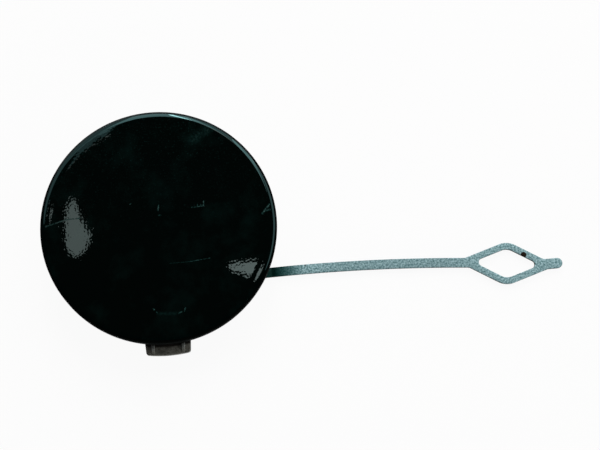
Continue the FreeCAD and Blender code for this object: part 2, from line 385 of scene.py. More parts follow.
paint = {
    "base": "#000302",
    "haze": "#041412",
    "hazeSize": 9.0,
    "hazeShare": 0.8,
    "baredAndGlint": "#2a5854",         # clear coat broken by a scratch scatters pale; also the colour of the painted glints over the foot
    "tint": "#e4fffb",          # of the gloss, from the flakes under it
    "edgeTint": "#b4f8fa",      # round the edge, where the coats lie thickest and more flakes show
    "peelSize": 0.75,           # orange peel
    "peelHeight": 0.005,
    "edgePeel": 0.002,          # its height round the edge, where the coat flowed out
    "waveSize": 7.0,            # slow waves of the moulding under the paint
    "waveHeight": 0.012,
    "nibSize": 0.5,             # dust caught in the clear coat
    "nibShare": 0.15,
    "nibStops": (-11.4, 30.4),  # along y: none before the first, and most from the second on
    "ior": 1.5,
    "gloss": 0.015,             # roughness of the sound coat
    "scratched": 0.8,           # added to the roughness where the clear coat is broken
    "breakSize": 0.8,           # a scratch is broken up in bits of this size
    # scratches and rubs on the face, then painted glints, as (x, y) ends, half a width and a strength, which
    # for a scratch is how far the coat is broken
    "scratchesAndGlints": [
        ((-36.0, 2.3), (-31.9, 3.3), 0.34, 0.42),
        ((-31.9, 3.3), (-29.3, 4.0), 0.32, 0.45),
        ((-29.3, 4.0), (-24.9, 4.1), 0.32, 0.45),
        ((2.7, -12.84), (9.1, -12.75), 0.14, 0.3),
        ((9.1, -12.75), (15.5, -12.1), 0.18, 0.5),
        # a scuff like a short comb
        ((11.0, 4.8), (14.9, 5.0), 0.32, 0.4),
        ((11.7, 4.9), (11.8, 5.5), 0.24, 0.35),
        ((12.8, 4.9), (12.9, 5.7), 0.26, 0.45),
        ((13.8, 5.0), (13.9, 5.5), 0.24, 0.4),
        ((14.7, 5.0), (14.9, 6.6), 0.30, 0.55),
        # nicks left of it
        ((0.39, 6.2), (0.1, 4.6), 0.34, 0.5),
        ((0.2, 3.1), (0.9, 2.9), 0.34, 0.5),
        ((-8.7, 7.3), (-8.4, 7.5), 0.30, 0.6),
        # a scuff at the right rim and a wide rub at the back
        ((33.4, 1.2), (35.9, 4.0), 0.50, 0.55),
        ((34.4, 2.1), (36.0, 2.4), 0.50, 0.45),
        ((12.9, 27.3), (19.4, 31.6), 2.6, 0.12),
        # painted glints at the ends of the hollow over the foot, where lamps would be mirrored, and a faint
        # painted sheen between them
        ((-3.4, -26.9), (-3.2, -27.2), 0.35, 0.7),
        ((-2.5, -28.0), (-2.4, -28.2), 0.35, 0.35),
        ((6.2, -28.4), (6.6, -27.4), 0.32, 0.9),
        ((4.4, -28.9), (5.4, -28.5), 0.32, 0.6),
        ((-2.0, -28.5), (4.0, -29.0), 0.8, 0.10),
    ],
}


def sprayedPaint(name, tint, peelHeight):
    # Car paint: a green-black base coat under gloss clear coat, sprayed on a moulding. The eye gets a deep,
    # almost black mirror, whose reflections have ragged edges from orange peel, with faint haze, nibs, a few
    # scratches, and small glints painted into the colour at the ends of the hollow over the foot.
    finish, tree, surface, coords = newFinish(name)
    haze = addNode(tree, "TexNoise", {"Scale": perSize(paint["hazeSize"]), "Detail": 5.0, "Roughness": 0.62},
                   {"Vector": coords})
    hazeShare = addNode(tree, "MapRange", {"From Min": 0.5, "From Max": 0.8, "To Max": paint["hazeShare"]},
                        {"Value": haze})

    # the deepest of all marks at a place counts, broken up by a noise
    marks = None
    for start, end, halfWidth, strength in paint["scratchesAndGlints"]:
        ends = [(*place, float(domeHeight(math.hypot(*place)))) for place in (start, end)]
        mark = lineMark(tree, coords, *ends, halfWidth, strength)
        if marks is not None:
            mark = addNode(tree, "Math", None, {0: marks, 1: mark}, operation="MAXIMUM")
        marks = mark
    broken = addNode(tree, "TexNoise", {"Scale": perSize(paint["breakSize"]), "Detail": 2.0},
                     {"Vector": coords})
    brokenShare = addNode(tree, "MapRange", {"From Min": 0.3, "From Max": 0.65}, {"Value": broken})
    # the same marks also carry the painted glints over the foot, as colour and roughness
    scratchAndGlint = addNode(tree, "Math", None, {0: marks, 1: brokenShare}, operation="MULTIPLY")
    rough = addNode(tree, "Math", {1: paint["scratched"], 2: paint["gloss"]}, {0: scratchAndGlint},
                    operation="MULTIPLY_ADD")

    # more nibs towards the back of the face
    split = addNode(tree, "SeparateXYZ", None, {0: coords})
    nibsFrom, nibsTo = (stop * mm for stop in paint["nibStops"])
    towardsBack = addNode(tree, "MapRange", {"From Min": nibsFrom, "From Max": nibsTo},
                          {"Value": split.outputs["Y"]})
    nibs = addNode(tree, "TexNoise", {"Scale": perSize(paint["nibSize"]), "Detail": 1.0}, {"Vector": coords})
    nibShare = addNode(tree, "MapRange", {"From Min": 0.6, "From Max": 0.85, "To Max": paint["nibShare"]},
                       {"Value": nibs})
    dust = addNode(tree, "Math", None, {0: towardsBack, 1: nibShare}, operation="MULTIPLY")

    colour = layCoats(tree, paint["base"],
                      [(hazeShare, paint["haze"]), (scratchAndGlint, paint["baredAndGlint"]), (dust, paint["baredAndGlint"])])
    peel = addNode(tree, "TexNoise", {"Scale": perSize(paint["peelSize"]), "Detail": 0.6}, {"Vector": coords})
    wave = addNode(tree, "TexNoise", {"Scale": perSize(paint["waveSize"]), "Detail": 1.0}, {"Vector": coords})
    waveBump = addNode(tree, "Bump", {"Distance": paint["waveHeight"] * mm}, {"Height": wave})
    peelBump = addNode(tree, "Bump", {"Distance": peelHeight * mm}, {"Height": peel, "Normal": waveBump})
    plug(tree, surface, {"IOR": paint["ior"], "Specular Tint": linearColour(tint)},
         {"Base Color": colour, "Roughness": rough, "Normal": peelBump})
    return finish


dryRim = {
    "base": "#000201",
    "grit": "#030807",
    "gritSize": 0.3,
    "gritHeight": 0.01,
    "ior": 1.42,
    "specular": 0.01,
    "smoothest": 0.55,
    "roughest": 0.75,
}


def drySprayedRim():
    # The same paint where the spray only grazed the rim: a thin, dry, porous coat. It lies matt and
    # green-black, with a fine grit, and shows hardly any reflection.
    finish, tree, surface, coords = newFinish("dry_sprayed_rim_paint")
    grit = addNode(tree, "TexNoise", {"Scale": perSize(dryRim["gritSize"]), "Detail": 3.0, "Roughness": 0.65},
                   {"Vector": coords})
    gritShare = addNode(tree, "MapRange", {"From Min": 0.4, "From Max": 0.75}, {"Value": grit})
    colour = layCoats(tree, dryRim["base"], [(gritShare, dryRim["grit"])])
    bump = addNode(tree, "Bump", {"Distance": dryRim["gritHeight"] * mm}, {"Height": grit})
    rough = addNode(tree, "MapRange", {"To Min": dryRim["smoothest"], "To Max": dryRim["roughest"]},
                    {"Value": grit})
    plug(tree, surface, {"IOR": dryRim["ior"], "Specular IOR Level": dryRim["specular"]},
         {"Base Color": colour, "Roughness": rough, "Normal": bump})
    return finish


# Collar with its clip arm, slots, barb and centring ribs

collar = {
    "outside": 33.0,
    "wall": 1.6,
    "leadIn": 0.7,
    "overlap": 0.6,             # into the face
    "ribAngles": (10.0, 50.0, 130.0, 170.0, 230.0, 310.0),
    "ribWidth": 1.2,
    "ribHeight": 0.5,
    "ribLeadIn": 1.4,
    "clipAngle": 90.0,
    "clipWidth": 11.0,
    "slotWidth": 1.4,
    "clipRoot": 1.4,
    "skinGap": 3.2,
    "barbHeight": 1.5,
    "barbLand": 0.8,
    "barbRelease": 0.5,
    "columns": 360,
    "hair": 1e-3,               # degrees from a step in the wall to the columns on its two sides
}
wallMiddle = collar["outside"] - collar["wall"] / 2


def collarRing(finish):
    # a closed section carried round the axis; its rear edge and its outside change from column to column, so
    # the slots are columns with a high rear edge, and the ribs and the barb are columns that stand out more
    outside = collar["outside"]
    inside = outside - collar["wall"]
    ceiling = float(domeHeight(outside, cap["wall"]))
    top = ceiling + collar["overlap"]
    chamferTop = rearEdge + collar["leadIn"]
    slotTop = ceiling - collar["clipRoot"]

    # half the angle that each of them takes up round the axis
    halfClip = collar["clipWidth"] / 2
    halfArm, halfSlots, halfBarb, halfRib = np.degrees(np.arcsin([
        halfClip / wallMiddle,
        (halfClip + collar["slotWidth"]) / wallMiddle,
        halfClip / (outside + collar["barbHeight"]),
        collar["ribWidth"] / 2 / outside,
    ]))
    steps = [collar["clipAngle"] + side * half for half in (halfArm, halfSlots, halfBarb) for side in (-1, 1)]
    steps += [angle + side * halfRib for angle in collar["ribAngles"] for side in (-1, 1)]
    steps = np.array(steps)
    even = np.linspace(0, 360, collar["columns"], endpoint=False)
    columns = np.unique(np.concatenate([even, steps - collar["hair"], steps + collar["hair"]]))

    fromClip = np.abs(columns - collar["clipAngle"])
    inSlot = (fromClip > halfArm) & (fromClip < halfSlots)
    onBarb = fromClip < halfBarb
    onRib = (np.abs(columns[:, None] - np.array(collar["ribAngles"])) < halfRib).any(axis=1)
    rear = np.where(inSlot, slotTop, rearEdge)

    catch = -collar["skinGap"]
    crestTop = catch - collar["barbRelease"]
    crestLow = crestTop - collar["barbLand"]
    ribFull = chamferTop + collar["ribLeadIn"]
    levels = np.array([chamferTop, ribFull, crestLow, crestTop, catch, top])
    barbOut = np.interp(levels, [chamferTop, crestLow, crestTop, catch], [0, 1, 1, 0]) * collar["barbHeight"]
    ribOut = np.interp(levels, [chamferTop, ribFull], [0, 1]) * collar["ribHeight"]
    proud = onBarb * barbOut[:, None] + onRib * ribOut[:, None]
    leadIn = np.where(inSlot, 0, collar["leadIn"])
    full = np.ones(len(columns))
    radius = np.vstack([full * inside, full * inside, outside - leadIn, outside + np.where(inSlot, 0, proud)])
    z = np.vstack([full * top, rear, rear, np.maximum(levels[:, None] * full, rear)])
    angle = np.radians(columns)
    faces = gridQuads(*radius.shape, closeRows=True, closeColumns=True)
    return addPiece("collar_ring", gridPoints(radius * np.cos(angle), radius * np.sin(angle), z), faces,
                    [finish], "bare_plastic")


# Retaining foot with its two ribs, and the gussets that carry it inside the collar

foot = {
    "reach": 41.0,              # axis to its edge
    "width": 14.2,
    "taper": 4.0,
    "thickness": 2.0,
    "cornerRadius": 0.9,
    "edgeRounding": 0.25,
    "ribSpacing": 9.7,
    "ribWidth": 1.1,
    "ribHeight": 0.7,
    "ribLeadIn": 1.6,
    "ribRun": 0.3,              # a last stretch of full height before the slope
    "ribRounding": 0.2,
    "gussetReach": 27.0,
    "gussetRounding": 0.15,
    "gussetFillet": 0.4,        # inside the U, where wall and gussets meet
    "gussetCorner": 0.3,
    "edgePoints": 9,
    "cornerPoints": 12,
    "slopeRows": 9,
    "filletPoints": 6,
}
footTop = -collar["skinGap"] - foot["ribHeight"]
footBottom = footTop - foot["thickness"]


def hookFoot(finish):
    # a tongue whose sides lean in and whose edge is an arc about the axis
    half = foot["width"] / 2
    spread = math.degrees(math.asin(half / foot["reach"]))
    arc = foot["reach"] * direction(-90 + np.linspace(-spread, spread, foot["edgePoints"]))
    halfRoot = half + (-wallMiddle - arc[0, 1]) * math.tan(math.radians(foot["taper"]))
    corners = np.vstack([arc, [(halfRoot, -wallMiddle), (-halfRoot, -wallMiddle)]])
    radii = np.zeros(len(corners))
    radii[[0, len(arc) - 1]] = foot["cornerRadius"]
    outline = roundedOutline(corners, radii, foot["cornerPoints"])
    points, faces = flatMoulding(outline, footBottom, footTop, foot["edgeRounding"])
    return addPiece("hook_foot", points, faces, [finish], "bare_plastic")


def footRibs(finish):
    # a section with two rounded upper corners carried outwards along y; its height falls to nothing at the
    # tip, and its lower corners stay sunk in the foot
    half = foot["ribWidth"] / 2
    rounding = foot["ribRounding"]
    tip = -math.sqrt(foot["reach"] ** 2 - (foot["ribSpacing"] / 2) ** 2) + foot["cornerRadius"] / 2
    insets, below = quarterRound(rounding, edgeSteps)
    acrossX = np.concatenate([[half], half - insets, insets[::-1] - half, [-half]])
    below = np.concatenate([[0], below, below[::-1], [0]])
    sunk = np.abs(np.arange(len(acrossX)) - (len(acrossX) - 1) / 2) > len(insets)
    slope = np.linspace(tip + foot["ribLeadIn"] + foot["ribRun"], tip, foot["slopeRows"])
    pathY = np.concatenate([[-wallMiddle], slope])[:, None]
    rise = np.interp(pathY, [tip, tip + foot["ribLeadIn"]], [0, foot["ribHeight"]])
    crest = footTop + rise - below * np.minimum(1, rise / rounding)
    z = np.where(sunk, footTop - foot["ribHeight"], crest)
    parts = [(gridPoints(side * foot["ribSpacing"] / 2 + acrossX, pathY, z), cappedTube(*z.shape))
             for side in (-1, 1)]
    return addPiece("foot_ribs", *joined(parts), [finish], "bare_plastic")


def gussetWalls(finish):
    # one U-shaped wall: two gussets in line with the ribs, and the wall that ties them
    outer = (foot["ribSpacing"] + foot["ribWidth"]) / 2
    inner = outer - foot["ribWidth"]
    root, near = -wallMiddle, -foot["gussetReach"]
    far = near + foot["ribWidth"]
    corners = [(-outer, root), (-inner, root), (-inner, near), (inner, near), (inner, root), (outer, root),
               (outer, far), (-outer, far)]
    fillet, corner = foot["gussetFillet"], foot["gussetCorner"]
    outline = roundedOutline(corners, [0, 0, fillet, fillet, 0, 0, corner, corner], foot["filletPoints"])
    top = float(domeHeight(foot["gussetReach"], cap["wall"])) + collar["overlap"]
    points, faces = flatMoulding(outline, footBottom, top, foot["gussetRounding"])
    return addPiece("gusset_walls", points, faces, [finish], "bare_plastic")


plastic = {
    "base": "#25211a",
    "dark": "#13110e",
    "cloudSize": 2.6,
    "mist": "#a3a398",          # stray paint mist, where it could reach past the rim
    "rimShadeAndMistStops": (38.0, 38.7),  # from the axis: none before the first, and full from the second on; the bare band inside is a painted shadow of the rim on the foot
    "mistDepth": (0.6, 0.1),    # under the foot's top: none from the first down, and full from the second up
    "blotchSize": 0.6,
    "earth": "#5e4630",         # grains of dirt in it
    "earthSize": 0.5,
    "earthShare": 0.7,
    "crest": "#969c99",         # painted highlight on the ribs' crests
    "crestHighlightStops": (37.7, 38.2),
    "crestHighlightHeight": (0.3, 0.6),  # above the foot's top
    "crestHighlightShare": 0.75,
    "grainSize": 0.35,
    "grainHeight": 0.012,
    "ior": 1.49,
    "smoothest": 0.45,
    "roughest": 0.62,
}


def mouldedPlastic():
    # Unpainted polypropylene, moulded in a finely spark-eroded tool: brown-black with a satin grain, uneven
    # where release agent has settled. What stands out past the rim is greyed by paint mist; the bare band
    # next to the rim is painted shade under it, and the pale crests of the ribs are a painted highlight.
    finish, tree, surface, coords = newFinish("moulded_polypropylene")
    cloud = addNode(tree, "TexNoise",
                    {"Scale": perSize(plastic["cloudSize"]), "Detail": 4.0, "Roughness": 0.6},
                    {"Vector": coords})
    cloudShare = addNode(tree, "MapRange", {"From Min": 0.35, "From Max": 0.7}, {"Value": cloud})

    # mist: by the distance from the axis, on upper faces only, and blotchy; held off next to the rim, which
    # leaves a painted shadow of the rim on the foot
    flat = addNode(tree, "VectorMath", {1: (1, 1, 0)}, {0: coords}, operation="MULTIPLY")
    radius = addNode(tree, "VectorMath", None, {0: flat}, operation="LENGTH").outputs["Value"]
    height = addNode(tree, "SeparateXYZ", None, {0: coords}).outputs["Z"]
    mistFrom, mistTo = (stop * mm for stop in plastic["rimShadeAndMistStops"])
    mistPastRimShade = addNode(tree, "MapRange", {"From Min": mistFrom, "From Max": mistTo}, {"Value": radius},
                      interpolation_type="SMOOTHSTEP")
    mistLow, mistFull = ((footTop - depth) * mm for depth in plastic["mistDepth"])
    upper = addNode(tree, "MapRange", {"From Min": mistLow, "From Max": mistFull}, {"Value": height})
    misted = addNode(tree, "Math", None, {0: mistPastRimShade, 1: upper}, operation="MULTIPLY")
    blotch = addNode(tree, "TexNoise",
                     {"Scale": perSize(plastic["blotchSize"]), "Detail": 4.0, "Roughness": 0.8},
                     {"Vector": coords})
    blotchShare = addNode(tree, "MapRange", {"From Min": 0.33, "From Max": 0.62, "To Min": 0.2},
                          {"Value": blotch})
    mistShare = addNode(tree, "Math", None, {0: misted, 1: blotchShare}, operation="MULTIPLY")
    earth = addNode(tree, "TexNoise",
                    {"Scale": perSize(plastic["earthSize"]), "Detail": 2.0, "Roughness": 0.6},
                    {"Vector": flat})
    grains = addNode(tree, "MapRange", {"From Min": 0.58, "From Max": 0.7, "To Max": plastic["earthShare"]},
                     {"Value": earth})
    earthShare = addNode(tree, "Math", None, {0: misted, 1: grains}, operation="MULTIPLY")
    # painted highlight on the ribs' crests: high on a rib, and kept off next to the rim as painted shade
    # there
    crestLow, crestFull = ((footTop + rise) * mm for rise in plastic["crestHighlightHeight"])
    high = addNode(tree, "MapRange",
                   {"From Min": crestLow, "From Max": crestFull, "To Max": plastic["crestHighlightShare"]},
                   {"Value": height})
    crestFrom, crestTo = (stop * mm for stop in plastic["crestHighlightStops"])
    crestHighlightReach = addNode(tree, "MapRange", {"From Min": crestFrom, "From Max": crestTo}, {"Value": radius},
                           interpolation_type="SMOOTHSTEP")
    crest = addNode(tree, "Math", None, {0: high, 1: crestHighlightReach}, operation="MULTIPLY")

    colour = layCoats(tree, plastic["base"], [(cloudShare, plastic["dark"]), (mistShare, plastic["mist"]),
                                              (earthShare, plastic["earth"]), (crest, plastic["crest"])])
    grain = addNode(tree, "TexNoise", {"Scale": perSize(plastic["grainSize"]), "Detail": 3.0},
                    {"Vector": coords})
    bump = addNode(tree, "Bump", {"Distance": plastic["grainHeight"] * mm}, {"Height": grain})
    rough = addNode(tree, "MapRange", {"To Min": plastic["smoothest"], "To Max": plastic["roughest"]},
                    {"Value": cloud})
    plug(tree, surface, {"IOR": plastic["ior"]}, {"Base Color": colour, "Roughness": rough, "Normal": bump})
    return finish


# Strap with its folding loop and pull tab

strap = {
    "width": 3.15,
    "thickness": 1.3,
    "offset": 16.15,            # axis to the strap's middle where it leaves the collar
    "heading": 2.1,
    "bowRadius": 606.0,
    "length": 72.6,
    "rootRadius": 1.5,
    "rootSink": 0.02,           # the root's outer corners lie this deep in the collar's wall
    "rootReach": 6.0,           # the strap's sides leave the collar within this length
    "loopLength": 33.2,
    "loopWidth": 15.05,
    "loopArm": 2.2,
    "loopTurn": -2.4,
    "loopStep": 0.37,
    "sideRadius": 4.3,
    "endRadius": 1.35,
    "neckRadius": 2.85,
    "neckRoom": 2.0,            # the bow's last points lie this far before the neck
    "tabWidth": 3.4,
    "tabLength": 5.8,
    "tabTurn": 7.9,
    "tabStep": 0.33,
    "edgeRounding": 0.22,
    "bowPoints": 25,
    "rootPoints": 601,
    "tabPoints": 17,
    "arcPoints": 16,
}
strapLow = rearEdge + collar["leadIn"]
strapHigh = strapLow + strap["thickness"]


def crossing(startA, alongA, startB, alongB):
    # the way along the first line to where two lines in the plane cross
    apart = startB - startA
    way = (apart[0] * alongB[1] - apart[1] * alongB[0]) / (alongA[0] * alongB[1] - alongA[1] * alongB[0])
    return startA + alongA * way


def strapOutlines():
    # outside: along the bowed strap, round the rhombus and the tab and back; inside: the smaller rhombus
    start = np.array([math.sqrt(wallMiddle ** 2 - strap["offset"] ** 2), -strap["offset"]])
    bowCentre = start + direction(strap["heading"] - 90) * strap["bowRadius"]

    def onBow(travel, side):
        turned = strap["heading"] - 90 - np.degrees(np.asarray(travel) / strap["bowRadius"])
        return bowCentre - (strap["bowRadius"] + side * strap["width"] / 2) * direction(turned)

    halfAngle = math.degrees(math.atan2(strap["loopWidth"], strap["loopLength"]))
    halfTan = math.tan(math.radians(halfAngle))
    endHeading = strap["heading"] - math.degrees(strap["length"] / strap["bowRadius"])
    loopHeading = endHeading + strap["loopTurn"]
    tabHeading = loopHeading + strap["tabTurn"]
    along, across = direction(loopHeading), direction(loopHeading + 90)
    neck = onBow(strap["length"], 0)
    corner = neck + across * strap["loopStep"] - along * (strap["width"] / 2 / halfTan)
    lastCorner = corner + along * strap["loopLength"]
    middle = (corner + lastCorner) / 2
    tabHalf = strap["tabWidth"] / 2
    lastNeck = lastCorner + across * strap["tabStep"] - along * (tabHalf / halfTan)
    roundCentre = lastNeck + direction(tabHeading) * (strap["tabLength"] - tabHalf)

    def neckCorners(side):
        # where the strap's side and the tab's side meet the loop
        strapEdge = onBow(strap["length"], side)
        tabEdge = roundCentre + direction(tabHeading + 90) * (side * tabHalf)
        first = crossing(strapEdge, direction(endHeading), corner, direction(loopHeading + side * halfAngle))
        last = crossing(tabEdge, direction(tabHeading), lastCorner, direction(loopHeading - side * halfAngle))
        return first, last

    def rootCorners(side):
        # where the strap's side meets the collar, and two places in the collar's wall beyond it
        places = onBow(np.linspace(0, strap["rootReach"], strap["rootPoints"]), side)
        nearest = places[np.argmin(np.abs(np.hypot(*places.T) - collar["outside"]))]
        angle = math.degrees(math.atan2(nearest[1], nearest[0]))
        beyond = direction(angle + side * math.degrees(2 * strap["rootRadius"] / collar["outside"]))
        return nearest, beyond * (collar["outside"] - strap["rootSink"]), beyond * wallMiddle

    # the bow's first two places lie in the collar or too near the root's fillet
    travel = np.linspace(0, strap["length"] - strap["neckRoom"], strap["bowPoints"])[2:]
    lowerFirst, lowerLast = neckCorners(-1)
    upperFirst, upperLast = neckCorners(1)
    lowerRoot, upperRoot = rootCorners(-1), rootCorners(1)
    tabEnd = roundCentre + tabHalf * direction(tabHeading + np.linspace(-90, 90, strap["tabPoints"]))
    sideRadius = strap["sideRadius"] + strap["loopArm"]
    halfWidth = strap["loopWidth"] / 2
    walk = [
        ([lowerRoot[2], lowerRoot[1]], 0),
        ([lowerRoot[0]], strap["rootRadius"]),
        (onBow(travel, -1), 0),
        ([lowerFirst], strap["neckRadius"]),
        ([middle - across * halfWidth], sideRadius),
        ([lowerLast], strap["neckRadius"]),
        (tabEnd, 0),
        ([upperLast], strap["neckRadius"]),
        ([middle + across * halfWidth], sideRadius),
        ([upperFirst], strap["neckRadius"]),
        (onBow(travel, 1)[::-1], 0),
        ([upperRoot[0]], strap["rootRadius"]),
        ([upperRoot[1], upperRoot[2]], 0),
    ]
    corners = np.vstack([places for places, _ in walk])
    radii = np.concatenate([[radius] * len(places) for places, radius in walk])
    outside = roundedOutline(corners, radii, strap["arcPoints"])

    innerHalf = halfWidth - strap["loopArm"] / math.cos(math.radians(halfAngle))
    innerLength = innerHalf / halfTan
    openingCorners = [middle - along * innerLength, middle - across * innerHalf,
                      middle + along * innerLength, middle + across * innerHalf]
    openingRadii = [strap["endRadius"], strap["sideRadius"]] * 2
    return outside, roundedOutline(openingCorners, openingRadii, strap["arcPoints"]), along, middle


def strapLoop(finish):
    # two rounded walls carried along the outlines; each flat face between them is cut in two where the
    # opening's ends lie nearest the outside
    outside, opening, along, middle = strapOutlines()
    outerRings = edgeRings(outside, strapLow, strapHigh, strap["edgeRounding"])
    innerRings = edgeRings(opening, strapLow, strapHigh, strap["edgeRounding"], inside=True)
    points, faces = joined([(rings.reshape(-1, 3), gridQuads(*rings.shape[:2], closeColumns=True))
                            for rings in (outerRings, innerRings)])
    rows, outerCount = outerRings.shape[:2]
    innerCount = len(opening)
    places = (opening - middle) @ along
    firstEnd, lastEnd = int(np.argmin(places)), int(np.argmax(places))
    nearFirst, nearLast = (int(np.argmin(np.linalg.norm(outside - opening[end], axis=1)))
                           for end in (firstEnd, lastEnd))

    def runOf(count, begin, end, step):
        length = (end - begin) * step % count
        return (begin + step * np.arange(length + 1)) % count

    for row in (0, rows - 1):
        outerRow, innerRow = row * outerCount, rows * outerCount + row * innerCount
        for begin, end, holeEnd, holeBegin in ((nearFirst, nearLast, lastEnd, firstEnd),
                                               (nearLast, nearFirst, firstEnd, lastEnd)):
            outerRun = outerRow + runOf(outerCount, begin, end, 1)
            innerRun = innerRow + runOf(innerCount, holeEnd, holeBegin, -1)
            faces.append(np.concatenate([outerRun, innerRun]).tolist())
    return addPiece("strap_loop", points, faces, [finish], "strap_overspray")


mist = {
    "pale": "#bde0e5",
    "mid": "#48757a",
    "speckSize": 0.6,           # real specks are nearer 0.2, drawn coarser so that they show
    "speckHeight": 0.02,
    "dusk": "#4f5d60",          # along the middle of the strap
    "duskShare": 0.18,
    "duskStops": (48.0, 60.0, 92.0, 104.0),
    "deepCoatInShadow": "#00231e",          # full coat beside the collar, with the cap's shadow painted in
    "teal": "#1b5f5e",          # half-way through the fade
    "fadeFrom": 35.5,           # along x, where the full coat and its painted shadow start to thin out
    "fadeTo": 46.2,
    "fadeWander": 1.8,          # how far the fade's edge strays
    "fadeGrain": 5.0,           # and how far single specks do
    "fadePower": 2.5,
    "cloudSize": 2.0,
    "dusty": "#204540",         # right under the rim, where less of it landed
    "dustyTo": 35.3,
    "dustyBlur": 0.4,
    # rubbed spots as (x, y), radius and how bare they are
    "rubs": [
        ((119.33, -16.72), 0.98, 1.0),
        ((46.5, -14.6), 0.36, 0.55),
    ],
    "rubBlur": (0.88, 1.1),     # shares of the radius between which a spot's edge fades
    "bare": "#241c13",
    "plastic": "#2b241c",       # low on the sides and underneath
    "mistDepth": (0.7, 0.12),   # under the strap's top: none from the first down, and full from the second up
    "ior": 1.48,
    "specular": 0.05,
    "smoothest": 0.5,
    "roughest": 0.62,
}


def paintMist():
    # Dry overspray of metallic paint on moulded plastic: pale grey-teal, speckled like fine sand and matt,
    # thicker and dark green beside the cap, where the cap's shadow is also painted in, missing at one rubbed
    # spot and on the underside.
    finish, tree, surface, coords = newFinish("metallic_overspray")
    split = addNode(tree, "SeparateXYZ", None, {0: coords})
    speck = addNode(tree, "TexNoise", {"Scale": perSize(mist["speckSize"]), "Detail": 3.0, "Roughness": 0.7},
                    {"Vector": coords})
    speckShare = addNode(tree, "MapRange", {"From Min": 0.36, "From Max": 0.64}, {"Value": speck})
    duskFrom, duskFull, duskLast, duskTo = (stop * mm for stop in mist["duskStops"])
    darker = addNode(tree, "MapRange",
                     {"From Min": duskFrom, "From Max": duskFull, "To Max": mist["duskShare"]},
                     {"Value": split.outputs["X"]}, interpolation_type="SMOOTHSTEP")
    paler = addNode(tree, "MapRange",
                    {"From Min": duskLast, "From Max": duskTo, "To Min": 1.0, "To Max": 0.0},
                    {"Value": split.outputs["X"]}, interpolation_type="SMOOTHSTEP")
    dusk = addNode(tree, "Math", None, {0: darker, 1: paler}, operation="MULTIPLY")
    specks = layCoats(tree, mist["mid"], [(speckShare, mist["pale"]), (dusk, mist["dusk"])])

    # the full coat, with the cap's shadow painted into it, turns teal along the strap and thins out, by a
    # power of the way; its edge strays with a cloud and with the specks
    cloud = addNode(tree, "TexNoise", {"Scale": perSize(mist["cloudSize"]), "Detail": 5.0, "Roughness": 0.7},
                    {"Vector": coords})
    strayed = addNode(tree, "Math", {1: 2 * mist["fadeWander"] * mm}, {0: cloud, 2: split.outputs["X"]},
                      operation="MULTIPLY_ADD")
    strayed = addNode(tree, "Math", {1: mist["fadeGrain"] * mm}, {0: speck, 2: strayed},
                      operation="MULTIPLY_ADD")
    meanStray = mist["fadeWander"] + mist["fadeGrain"] / 2
    fadeFrom, fadeTo = ((mist[stop] + meanStray) * mm for stop in ("fadeFrom", "fadeTo"))
    way = addNode(tree, "MapRange", {"From Min": fadeFrom, "From Max": fadeTo}, {"Value": strayed})
    thinnedOutOfShadow = addNode(tree, "Math", {1: mist["fadePower"]}, {0: way}, operation="POWER")
    fade = layCoats(tree, mist["deepCoatInShadow"], [(way, mist["teal"]), (thinnedOutOfShadow, specks)])
    dustyFull, dustyLast = ((mist["dustyTo"] + side * mist["dustyBlur"]) * mm for side in (-1, 1))
    clear = addNode(tree, "MapRange", {"From Min": dustyFull, "From Max": dustyLast},
                    {"Value": split.outputs["X"]}, interpolation_type="SMOOTHSTEP")
    coats = [(clear, fade)]
    for (x, y), radius, bareness in mist["rubs"]:
        centre = (x * mm, y * mm, strapHigh * mm)
        away = addNode(tree, "VectorMath", {1: centre}, {0: coords}, operation="DISTANCE")
        rubFull, rubLast = (share * radius * mm for share in mist["rubBlur"])
        spot = addNode(tree, "MapRange",
                       {"From Min": rubFull, "From Max": rubLast, "To Min": bareness, "To Max": 0.0},
                       {"Value": away.outputs["Value"]}, interpolation_type="SMOOTHSTEP")
        coats.append((spot, mist["bare"]))
    mistLow, mistFull = ((strapHigh - depth) * mm for depth in mist["mistDepth"])
    upper = addNode(tree, "MapRange", {"From Min": mistLow, "From Max": mistFull},
                    {"Value": split.outputs["Z"]}, interpolation_type="SMOOTHSTEP")
    colour = layCoats(tree, mist["plastic"], [(upper, layCoats(tree, mist["dusty"], coats))])

    bump = addNode(tree, "Bump", {"Distance": mist["speckHeight"] * mm}, {"Height": speck})
    rough = addNode(tree, "MapRange", {"To Min": mist["smoothest"], "To Max": mist["roughest"]},
                    {"Value": thinnedOutOfShadow})
    plug(tree, surface, {"IOR": mist["ior"], "Specular IOR Level": mist["specular"]},
         {"Base Color": colour, "Roughness": rough, "Normal": bump})
    return finish


# Floor, world and lamps

